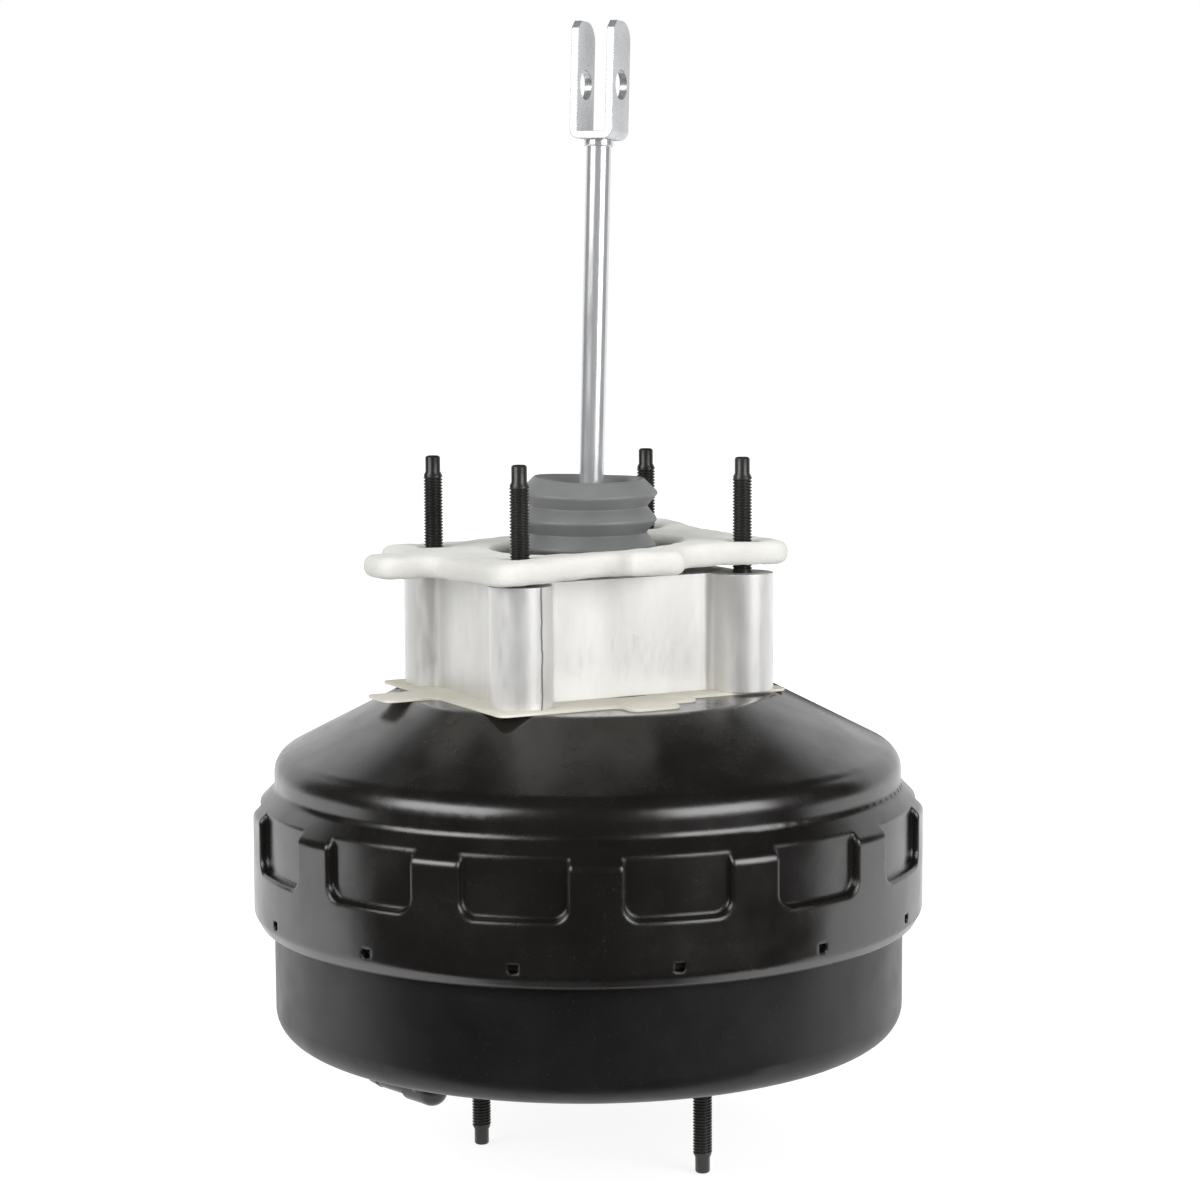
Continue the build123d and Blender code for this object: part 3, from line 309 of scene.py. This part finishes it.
looks = {
    "black_enamel": paint(
        "black_enamel", (0.0050, 0.0042, 0.0036), (0.0095, 0.0084, 0.0074), (0.2, 0.3), edge=0.0020,
    ),
    "black_satin": paint(
        "black_satin", (0.005, 0.005, 0.0058), (0.009, 0.009, 0.0098), (0.34, 0.44),
        edge=0.001, specular=0.4,
    ),
    "plate_steel": metal("plate_steel", (0.45, 0.42, 0.32), (0.62, 0.6, 0.5), (0.3, 0.45)),
    "black_steel": metal(
        "black_steel", (0.02, 0.02, 0.019), (0.045, 0.044, 0.042), (0.22, 0.34),
        edge=0.0, metallic=0.5,
    ),
    "gasket_card": moulded(
        "gasket_card", (0.66, 0.63, 0.54), (0.78, 0.75, 0.67), (0.75, 0.9), edge=0.0002,
    ),
    "cast_aluminium": spacer_metal(),
    "foam": moulded(
        "foam", (0.58, 0.575, 0.54), (0.68, 0.675, 0.64), (0.9, 1.0),
        scale=700, depth=0.00025, edge=0.0, sheen=0.3,
    ),
    "grey_rubber": moulded(
        "grey_rubber", (0.15, 0.155, 0.155), (0.19, 0.195, 0.193), (0.4, 0.5), edge=0.0,
    ),
    "black_rubber": moulded(
        "black_rubber", (0.015, 0.015, 0.015), (0.03, 0.03, 0.03), (0.55, 0.7),
    ),
    "spring_steel": metal("spring_steel", (0.2, 0.2, 0.21), (0.4, 0.4, 0.42), (0.25, 0.4), edge=0.0),
    "phenolic": moulded(
        "phenolic", (0.045, 0.03, 0.02), (0.075, 0.05, 0.035), (0.35, 0.5), scale=300,
    ),
    "bearing_plastic": moulded(
        "bearing_plastic", (0.5, 0.46, 0.36), (0.62, 0.58, 0.48), (0.25, 0.35),
    ),
    "turned_steel": metal(
        "turned_steel", (0.4, 0.4, 0.41), (0.6, 0.6, 0.62), (0.2, 0.35),
        stretch=(0.1, 0.1, 1), scale=900,
    ),
    "filter_foam": moulded(
        "filter_foam", (0.05, 0.05, 0.045), (0.12, 0.12, 0.11), (0.95, 1.0),
        scale=900, depth=0.0005, edge=0.0,
    ),
    "zinc_steel": metal(
        "zinc_steel", (0.58, 0.59, 0.605), (0.8, 0.805, 0.815), (0.14, 0.26),
        stretch=(1, 1, 0.1), scale=520, depth=0.000012, edge=0.0006, metallic=0.65,
    ),
    "black_plastic": moulded(
        "black_plastic", (0.01, 0.01, 0.012), (0.02, 0.02, 0.022), (0.18, 0.3), edge=0.0005,
    ),
}
# The clevis's zinc-plated steel, darker than zinc_steel: painted shade that tones down the bright
# reflection on its flat faces.
clevis_zinc_painted_shade = metal(
    "clevis_zinc_painted_shade", (0.44, 0.445, 0.455), (0.62, 0.625, 0.635), (0.2, 0.32),
    scale=520, depth=0.000012, edge=0.0006, metallic=0.65,
)
slots = {part["node"]: part["material_slot"] for part in frame["record"]["subparts"]}
for name, slot in slots.items():
    node = nodes[name]
    node.data.materials.clear()
    node.data.materials.append(clevis_zinc_painted_shade.mat if name == "clevis" else looks[slot].mat)


# ------------------------------------------------------------------------- mesh helpers
def piece(name, verts, faces, body, replaced):
    """A smooth mesh piece that rides on a body and takes the place of a CAD node."""
    data = bpy.data.meshes.new(name)
    data.from_pydata(verts, [], faces)
    data.validate()
    data.polygons.foreach_set("use_smooth", [True] * len(data.polygons))
    obj = bpy.data.objects.new(name, data)
    bpy.context.collection.objects.link(obj)
    return settle(obj, body, replaced)


def settle(obj, body, replaced):
    """Gives a piece the material of the node it replaces; a piece that bends has no body."""
    obj.data.materials.clear()
    obj.data.materials.append(looks[slots[replaced]].mat)
    if body:
        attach(obj, body)
    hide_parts(replaced)
    return obj


def tube_faces(rows, around, closed):
    """Quads of a grid of rings; a closed one joins its last ring to its first."""
    faces = []
    for i in range(rows if closed else rows - 1):
        a, b = i * around, (i + 1) % rows * around
        for j in range(around):
            k = (j + 1) % around
            faces.append((a + j, a + k, b + k, b + j))
    return faces


# ---------------------------------------------------------------------------- the studs
STUD_RADIUS = 4.0
SHANK_RADIUS = 4.4
HEAD_RADIUS = 7.5
HEAD_HEIGHT = 3.0
HEAD_EDGE = 0.4                     # bevel at its seat, and height of the bevel at its top
HEAD_TOP_EDGE = 0.6                 # width of the bevel at its top
POINT_RADIUS = 3.05
DOG_POINT = (                       # distance to the tip, and radius, of each of its rings
    (7.9, 3.75), (6.5, POINT_RADIUS), (0.7, POINT_RADIUS), (0.15, 2.6),
    (0, 2.2), (0, 1.5), (0.5, 1.1), (0.5, 0),
)
SHANK_STOP = 1.0                    # end of the shank to the start of the thread
STEP_STOP = 0.6                     # end of the shank's step to the start of the thread
THREAD_PITCH = 1.25
THREAD_DEPTH = 0.68
THREAD_STOP = 8.6                   # end of the thread to the stud's tip
THREAD_RUN_IN = 2.0                 # length in which the thread reaches its depth
THREAD_RUN_OUT = 1.2                # length in which it fades, around its end
PITCH_RINGS = 8                     # rings of the mesh in one pitch
STUD_AROUND = 28
MC_STUD_CIRCLE = 50.3               # booster's axis to each master cylinder stud
MC_STUD_HEADING = math.radians(-51.4)
MC_THREAD_START = 6.5               # head's seat to the start of the thread


def thread_depth(turn):
    """Share of the thread's depth at a place in its pitch: flanks, a crest and a root."""
    turn = turn % 1.0
    return min(1.0, max(0.0, 1.35 * abs(2 * turn - 1) - 0.175))


def stud_rings(start, long):
    """Distance from the head's seat and radius of each ring, before the thread is cut."""
    rings = [
        (-HEAD_HEIGHT, 0),
        (-HEAD_HEIGHT, HEAD_RADIUS - HEAD_TOP_EDGE),
        (-HEAD_HEIGHT + HEAD_EDGE, HEAD_RADIUS),
        (-HEAD_EDGE, HEAD_RADIUS),
        (0, HEAD_RADIUS - HEAD_EDGE),
        (0, SHANK_RADIUS),
        (start - SHANK_STOP, SHANK_RADIUS),
        (start - STEP_STOP, STUD_RADIUS),
        (start, STUD_RADIUS),
    ]
    count = int((long - THREAD_STOP - start) / THREAD_PITCH * PITCH_RINGS)
    for i in range(1, count + 1):
        rings.append((start + i * THREAD_PITCH / PITCH_RINGS, STUD_RADIUS))
    return rings + [(long - drop, radius) for drop, radius in DOG_POINT]


def stud(x, y, head, start, tip):
    """Mesh of a stud with its head's seat and its tip at those heights.
    Its thread starts that far from the seat."""
    way = 1 if tip > head else -1
    long = abs(tip - head)
    thread_end = long - THREAD_STOP
    rings = stud_rings(start, long)
    verts = []
    for along, radius in rings:
        run_in = (along - start) / THREAD_RUN_IN
        run_out = (thread_end - along) / THREAD_RUN_OUT + 0.5
        cut = min(1, max(0, run_in), max(0, run_out)) if radius == STUD_RADIUS else 0
        for j in range(STUD_AROUND):
            turn = j / STUD_AROUND
            r = radius - THREAD_DEPTH * cut * thread_depth(along / THREAD_PITCH - way * turn)
            angle = 2 * math.pi * turn
            place = Vector((x + r * math.cos(angle), y + r * math.sin(angle), head + way * along))
            verts.append(place * MM)
    faces = tube_faces(len(rings), STUD_AROUND, False)
    if way < 0:
        faces = [tuple(reversed(face)) for face in faces]
    return verts, faces


def studs(name, places, head, start, tip, replaced):
    verts, faces = [], []
    for x, y in places:
        v, f = stud(x, y, head, start, tip)
        faces += [tuple(i + len(verts) for i in face) for face in f]
        verts += v
    return piece(name, verts, faces, "housing", replaced)


def firewall_studs():
    """The mounting face is at zero, and the threads start there."""
    foot, tip = (corner.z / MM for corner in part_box("firewall_studs"))
    head = foot + HEAD_HEIGHT
    studs("firewall_stud_threads", FIREWALL_STUDS, head, -head, tip, "firewall_studs")


def master_cylinder_studs():
    tip, top = (corner.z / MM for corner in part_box("master_cylinder_studs"))
    headings = (MC_STUD_HEADING, MC_STUD_HEADING + math.pi)
    places = [(MC_STUD_CIRCLE * math.cos(a), MC_STUD_CIRCLE * math.sin(a)) for a in headings]
    studs(
        "master_cylinder_stud_threads", places, top - HEAD_HEIGHT, MC_THREAD_START, tip,
        "master_cylinder_studs",
    )


firewall_studs()
master_cylinder_studs()

# ------------------------------------------------------------------------- foam gasket
FOAM_END = 69.0                     # half of its length, without the tab
FOAM_SIDE = 59.0                    # half of its width, without the lug
FOAM_THICKNESS = 9.0
FOAM_EDGE = 3.6                     # rounding of its edges
FOAM_BORE = 37.5
FOAM_STUD_HOLE = 4.6
LUG_LEFT, LUG_RIGHT, LUG_FRONT = -18, 8, -71
RELIEF_LEFT, RELIEF_FRONT = 18, -50
TAB_LEFT, TAB_FRONT, TAB_BACK = -91, -1, 24
VOXEL = 0.0011                      # metres


def rounded(corners):
    """Closed outline through the corners, each turned by a curve: (x, y, reach)."""
    points = []
    for i, (x, y, reach) in enumerate(corners):
        p = Vector((x, y))
        before = Vector(corners[i - 1][:2]) - p
        after = Vector(corners[(i + 1) % len(corners)][:2]) - p
        reach = min(reach, 0.48 * before.length, 0.48 * after.length)
        points += bend(p, before.normalized() * reach, after.normalized() * reach, 6)
    return points


def bend(corner, before, after, steps):
    """Points of a curve that turns a corner, from one offset of it to the other."""
    a, b = corner + before, corner + after
    shares = [k / steps for k in range(steps + 1)]
    return [(1 - t) ** 2 * a + 2 * t * (1 - t) * corner + t ** 2 * b for t in shares]


def circle(x, y, radius, count):
    angles = [2 * math.pi * i / count for i in range(count)]
    return [(x + radius * math.cos(a), y + radius * math.sin(a)) for a in angles]


def flat_sheet(name, outlines, thickness, edge):
    """Mesh of a round-edged sheet on the mounting face, from its outline and its holes."""
    curve = bpy.data.curves.new(name, "CURVE")
    curve.dimensions = "2D"
    curve.fill_mode = "BOTH"
    curve.extrude = (thickness / 2 - edge) * MM
    curve.bevel_depth = edge * MM
    curve.offset = -edge * MM
    curve.bevel_resolution = 3
    for outline in outlines:
        spline = curve.splines.new("POLY")
        spline.points.add(len(outline) - 1)
        for point, place in zip(spline.points, outline):
            point.co = (place[0] * MM, place[1] * MM, 0, 1)
        spline.use_cyclic_u = True
    holder = bpy.data.objects.new(name + "_outline", curve)
    bpy.context.collection.objects.link(holder)
    graph = bpy.context.evaluated_depsgraph_get()
    mesh = bpy.data.meshes.new_from_object(holder.evaluated_get(graph))
    mesh.name = name
    bpy.data.objects.remove(holder)
    for vertex in mesh.vertices:
        vertex.co.z += thickness / 2 * MM
    return mesh


def softened(obj):
    """The object's mesh in even voxels, with its edges smoothed."""
    voxels = obj.modifiers.new("voxels", "REMESH")
    voxels.mode, voxels.voxel_size, voxels.use_smooth_shade = "VOXEL", VOXEL, True
    even = obj.modifiers.new("even", "SMOOTH")
    even.iterations, even.factor = 4, 0.6
    graph = bpy.context.evaluated_depsgraph_get()
    mesh = bpy.data.meshes.new_from_object(obj.evaluated_get(graph))
    mesh.name = obj.name
    obj.modifiers.clear()
    return mesh


def foam_rise(x, y):
    """How far the foam has curled up from the spacer at a place."""
    cos, sin = math.cos(LEAN_HEADING), math.sin(LEAN_HEADING)
    across, away = x * cos + y * sin, y * cos - x * sin
    rise = 3.9 * smooth(-60, 50, 0.97 * across + 0.25 * away)           # its right
    rise += 1.4 * smooth(-45, -68, away) * smooth(-62, -30, across)     # its front
    rise += 2.6 * smooth(48, 78, away)                                  # its back corner
    rise -= 1.2 * smooth(-66, -86, x)                                   # its left tab hangs
    rise += 0.9 * noise.noise(Vector((x, y, 0)) * 0.03)
    return max(0, rise)


def foam_gasket():
    outline = rounded([
        (-FOAM_END, -FOAM_SIDE, 11), (LUG_LEFT, -FOAM_SIDE, 6), (LUG_LEFT, LUG_FRONT, 8),
        (LUG_RIGHT, LUG_FRONT, 8), (LUG_RIGHT, -FOAM_SIDE, 5), (RELIEF_LEFT, RELIEF_FRONT, 6),
        (FOAM_END, RELIEF_FRONT, 9), (FOAM_END, FOAM_SIDE, 12), (-FOAM_END, FOAM_SIDE, 12),
        (-FOAM_END, TAB_BACK, 5), (TAB_LEFT, TAB_BACK, 9), (TAB_LEFT, TAB_FRONT, 9),
        (-FOAM_END, TAB_FRONT, 6),
    ])
    holes = [circle(0, 0, FOAM_BORE, 72)]
    holes += [circle(x, y, FOAM_STUD_HOLE, 20) for x, y in FIREWALL_STUDS]
    mesh = flat_sheet("foam_sheet", [outline] + holes, FOAM_THICKNESS, FOAM_EDGE)
    obj = bpy.data.objects.new("foam_sheet", mesh)
    bpy.context.collection.objects.link(obj)
    obj.data = softened(obj)
    for vertex in obj.data.vertices:
        x, y, z = vertex.co / MM
        dent = 0.3 * noise.noise(Vector((x, y, z)) * 0.16)
        vertex.co.z += (foam_rise(x, y) * (0.85 + 0.01 * z) + dent + 0.2) * MM
    settle(obj, "housing", "foam_gasket")


foam_gasket()

# --------------------------------------------------------------------------- dust boot
BOOT_FOOT = 152.0                   # lower end of its sleeve
BOOT_SLEEVE_TOP = 175.5
BOOT_SLEEVE = 27.4                  # outer radii of the sleeve, the valleys and the peaks
BOOT_VALLEY = 24.0
BOOT_PEAK = 28.5
BOOT_FOLDS = 4
BOOT_PITCH = 11.0
BOOT_WALL = 1.3
BOOT_AROUND = 144


def turned(profile, around, shape):
    """Closed profile turned about Z; shape places each point."""
    verts = []
    for r, z in profile:
        for j in range(around):
            angle = 2 * math.pi * j / around
            verts.append(shape(Vector((r * math.cos(angle), r * math.sin(angle), z)), angle) * MM)
    return verts, tube_faces(len(profile), around, True)


def eased(points):
    """Path with each corner turned by a short curve: (radius, height, reach)."""
    path = [Vector(points[0][:2])]
    for last, (r, z, reach), following in zip(points, points[1:], points[2:]):
        p = Vector((r, z))
        before, after = Vector(last[:2]) - p, Vector(following[:2]) - p
        before = before.normalized() * min(reach, before.length * 0.45)
        after = after.normalized() * min(reach, after.length * 0.45)
        path += bend(p, before, after, 5)
    path.append(Vector(points[-1][:2]))
    return path


def walled(path, wall, top):
    """Closed outline of a boot's path and the same path moved inwards, and down above top."""
    inner = [p - Vector((wall, wall * smooth(top, top + 5, p.y))) for p in path]
    return path + inner[::-1]


def boot_shape(p, angle):
    """Leans the boot with the rod, opens its mouth for the lean and the tilt, and crumples it."""
    turned_by = angle - LEAN_HEADING
    up = smooth(176, 224, p.z)                      # 0 on the sleeve, 1 at the top
    mouth = smooth(21, 9, math.hypot(p.x, p.y)) * smooth(214, 219, p.z)     # 1 at its rim
    shift = math.tan(LEAN) * (p.z - BALL_HEIGHT) * (0.45 * up + 0.55 * mouth)
    wave = 0.3 * noise.noise(Vector((math.cos(angle), math.sin(angle), p.z * 0.05)) * 1.7)
    gape = mouth * 4.2 * max(0, math.cos(turned_by)) ** 1.5
    tilt_room = mouth * 1.6 * math.cos(angle - TILT_HEADING) ** 2
    crumple = mouth * 0.7 * noise.noise(Vector((4 * math.cos(angle), 4 * math.sin(angle), 0)))
    rise = 1.1 * max(0, -math.cos(turned_by)) - 0.9 * max(0, -math.sin(turned_by)) - 0.5
    out = wave + gape + tilt_room
    return Vector((
        p.x + shift * math.cos(LEAN_HEADING) + out * math.cos(angle),
        p.y + shift * math.sin(LEAN_HEADING) + out * math.sin(angle),
        p.z + SHELL_FLOOR + rise * smooth(205, 226, p.z) + 0.6 * wave + crumple,
    ))


def dust_boot():
    points = [(BOOT_SLEEVE, BOOT_FOOT, 0), (BOOT_SLEEVE, BOOT_SLEEVE_TOP, 2)]
    for fold in range(BOOT_FOLDS):
        valley = BOOT_SLEEVE_TOP + (fold + 0.5) * BOOT_PITCH
        points += [(BOOT_VALLEY, valley, 0.5), (BOOT_PEAK, valley + BOOT_PITCH / 2, 1.3)]
    points += [(21.9, 226.0, 1.2), (17.5, 224.2, 3), (13.0, 221.4, 3), (8.6, 220.2, 0)]
    profile = walled(eased(points), BOOT_WALL, 219)
    verts, faces = turned(profile, BOOT_AROUND, boot_shape)
    boot = piece("ribbed_boot", verts, faces, "housing", "dust_boot")
    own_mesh(boot)


dust_boot()


# ------------------------------------------------- springs and diaphragms as pieces of their own
def copied(node, name):
    """The mesh of a CAD node as a piece of its own."""
    source = nodes[node]
    obj = bpy.data.objects.new(name, source.data.copy())
    bpy.context.collection.objects.link(obj)
    obj.matrix_world = source.matrix_world
    return obj


def squeezed(node, body, anchor, fit=1.0):
    """Spring that shortens towards its seat; fit leaves room at its other end."""
    obj = copied(node, node + "_coil")
    seat = obj.matrix_world.inverted() @ Vector((0, 0, anchor))
    for vertex in obj.data.vertices:
        vertex.co.z = seat.z + (vertex.co.z - seat.z) * fit
    settle(obj, body, node)
    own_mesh(obj)


def rolled(node):
    """Diaphragm as a piece of its own, with no body, baked where it rests: its bead in the housing and
    its disc on the piston.
    """
    obj = settle(copied(node, node + "_membrane"), None, node)
    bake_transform(obj)


squeezed("return_spring", "housing", level(-7.9))
squeezed("valve_return_spring", "power_piston", level(159.7), fit=0.985)
squeezed("poppet_spring", "power_piston", level(158.9))
squeezed("check_valve_spring", "housing", level(-11))
rolled("rear_diaphragm")
rolled("front_diaphragm")

# -------------------------------------------------------------------- floor and lights
BOOTH_RADIUS = 1.9
BOOTH_LOW, BOOTH_HIGH = -0.24, 1.6
BOOTH_CENTRE = 0.1                  # behind the booster's axis
BOOTH_STEP = 7.5                    # degrees from card to card
BOOTH_SLOTS = ((22, 75), (97, 150))     # headings in degrees from the camera's right
CARD_HALF = 2.0                     # half of the width of its two level cards
LOW_CARD_END = -0.15                # the lower one ends this far before the axis
FLOOR_HALF = 6.0
FLOOR_GAP = 0.0005                  # room under the booster's lowest point
WORLD_LIGHT = 0.38
LAMP_TARGET = (0, 0, -0.08)


def flat_mesh(name, verts, faces):
    """Object with flat faces, for what isn't part of the booster."""
    data = bpy.data.meshes.new(name)
    data.from_pydata(verts, [], faces)
    obj = bpy.data.objects.new(name, data)
    bpy.context.collection.objects.link(obj)
    return obj


def dark_booth():
    """Dark cards for the shells and the rod to mirror, with two bright slots at the back."""
    verts, faces = [], []

    def card(*corners):
        faces.append(tuple(range(len(verts), len(verts) + 4)))
        verts.extend(facing(*corner) for corner in corners)

    def ring_point(heading):
        a = math.radians(heading)
        return BOOTH_RADIUS * math.cos(a), BOOTH_CENTRE + BOOTH_RADIUS * math.sin(a)

    for i in range(round(360 / BOOTH_STEP)):
        heading = BOOTH_STEP * i
        if any(low < heading < high for low, high in BOOTH_SLOTS):
            continue
        a, b = ring_point(heading), ring_point(heading + BOOTH_STEP)
        card((*a, BOOTH_LOW), (*b, BOOTH_LOW), (*b, BOOTH_HIGH), (*a, BOOTH_HIGH))
    half = CARD_HALF
    for end, height in ((half, BOOTH_HIGH), (LOW_CARD_END, BOOTH_LOW)):
        card((-half, -half, height), (half, -half, height), (half, end, height), (-half, end, height))
    booth = flat_mesh("booth", verts, faces)
    booth.visible_camera = booth.visible_diffuse = booth.visible_shadow = False
    s = Shader("booth_card")
    s.set(
        colour=s.blend(s.ramp(s.noise(3, detail=2), 0, 1), (0.012, 0.012, 0.013), (0.02, 0.02, 0.021)),
        rough=1.0,
        specular=0.0,
    )
    booth.data.materials.append(s.mat)


def seen_ray(tree):
    """1 for camera, glossy and transmission rays, and 0 for the light that falls on things."""
    rays = tree.nodes.new("ShaderNodeLightPath").outputs
    found = rays["Is Camera Ray"]
    for name in ("Is Glossy Ray", "Is Transmission Ray"):
        larger = tree.nodes.new("ShaderNodeMath")
        larger.operation = "MAXIMUM"
        tree.links.new(found, larger.inputs[0])
        tree.links.new(rays[name], larger.inputs[1])
        found = larger.outputs[0]
    return found


def white_floor():
    """Floor that is white with a shadow where it is seen, and light grey to other rays."""
    low = cad_box[0][2] - FLOOR_GAP
    corners = [(-1, -1), (1, -1), (1, 1), (-1, 1)]
    verts = [(x * FLOOR_HALF, y * FLOOR_HALF, low) for x, y in corners]
    floor = flat_mesh("floor", verts, [(0, 1, 2, 3)])
    s = Shader("floor")
    s.set(colour=(0.8, 0.8, 0.8), rough=1.0, specular=0.0)
    x, y, z = s.xyz()
    white = s.add("ShaderNodeEmission")
    white.inputs["Color"].default_value = (1, 1, 1, 1)
    s.feed(white.inputs["Strength"], s.ramp(s.length(x, y), 0.84, 1.0, start=0.35, end=0.9))
    soft = s.add("ShaderNodeBsdfDiffuse")
    soft.inputs["Color"].default_value = (0.4, 0.4, 0.4, 1)
    both = s.add("ShaderNodeAddShader")
    s.link(white.outputs[0], both.inputs[0])
    s.link(soft.outputs[0], both.inputs[1])
    choice = s.add("ShaderNodeMixShader")
    s.link(seen_ray(s.tree), choice.inputs[0])
    s.link(s.bsdf.outputs[0], choice.inputs[1])
    s.link(both.outputs[0], choice.inputs[2])
    s.link(choice.outputs[0], s.out.inputs["Surface"])
    floor.data.materials.append(s.mat)


def white_world():
    """World that is white where it is seen, and dimmer as a light."""
    world = bpy.data.worlds.new("world")
    bpy.context.scene.world = world
    world.use_nodes = True
    tree = world.node_tree
    tree.nodes.clear()
    out = tree.nodes.new("ShaderNodeOutputWorld")
    mix = tree.nodes.new("ShaderNodeMixShader")
    tree.links.new(seen_ray(tree), mix.inputs[0])
    for index, strength in ((1, WORLD_LIGHT), (2, 1.0)):
        light = tree.nodes.new("ShaderNodeBackground")
        light.inputs["Color"].default_value = (1, 1, 1, 1)
        light.inputs["Strength"].default_value = strength
        tree.links.new(light.outputs[0], mix.inputs[index])
    tree.links.new(mix.outputs[0], out.inputs["Surface"])


def softbox(name, place, width, height, power, mirrored=True):
    """Lamp that points at LAMP_TARGET, placed as the camera's heading sees it."""
    data = bpy.data.lights.new(name, "AREA")
    data.shape = "RECTANGLE"
    data.size, data.size_y = width, height
    data.energy = power
    lamp = bpy.data.objects.new(name, data)
    bpy.context.collection.objects.link(lamp)
    lamp.visible_glossy = mirrored
    lamp.location = facing(*place)
    ray = facing(*LAMP_TARGET) - facing(*place)
    lamp.rotation_euler = ray.to_track_quat("-Z", "Y").to_euler()


white_floor()
white_world()
dark_booth()
softbox("top_box", (0, -0.1, 1.3), 0.8, 0.8, 6, mirrored=False)
softbox("left_box", (-1.16, -0.87, 0.6), 1.2, 0.75, 14)
softbox("right_box", (1.05, -1.0, 0.38), 1.0, 0.8, 13)
softbox("fill_box", (0.3, -1.5, -0.02), 0.8, 0.4, 5, mirrored=False)

bpy.context.scene.view_settings.view_transform = "Standard"
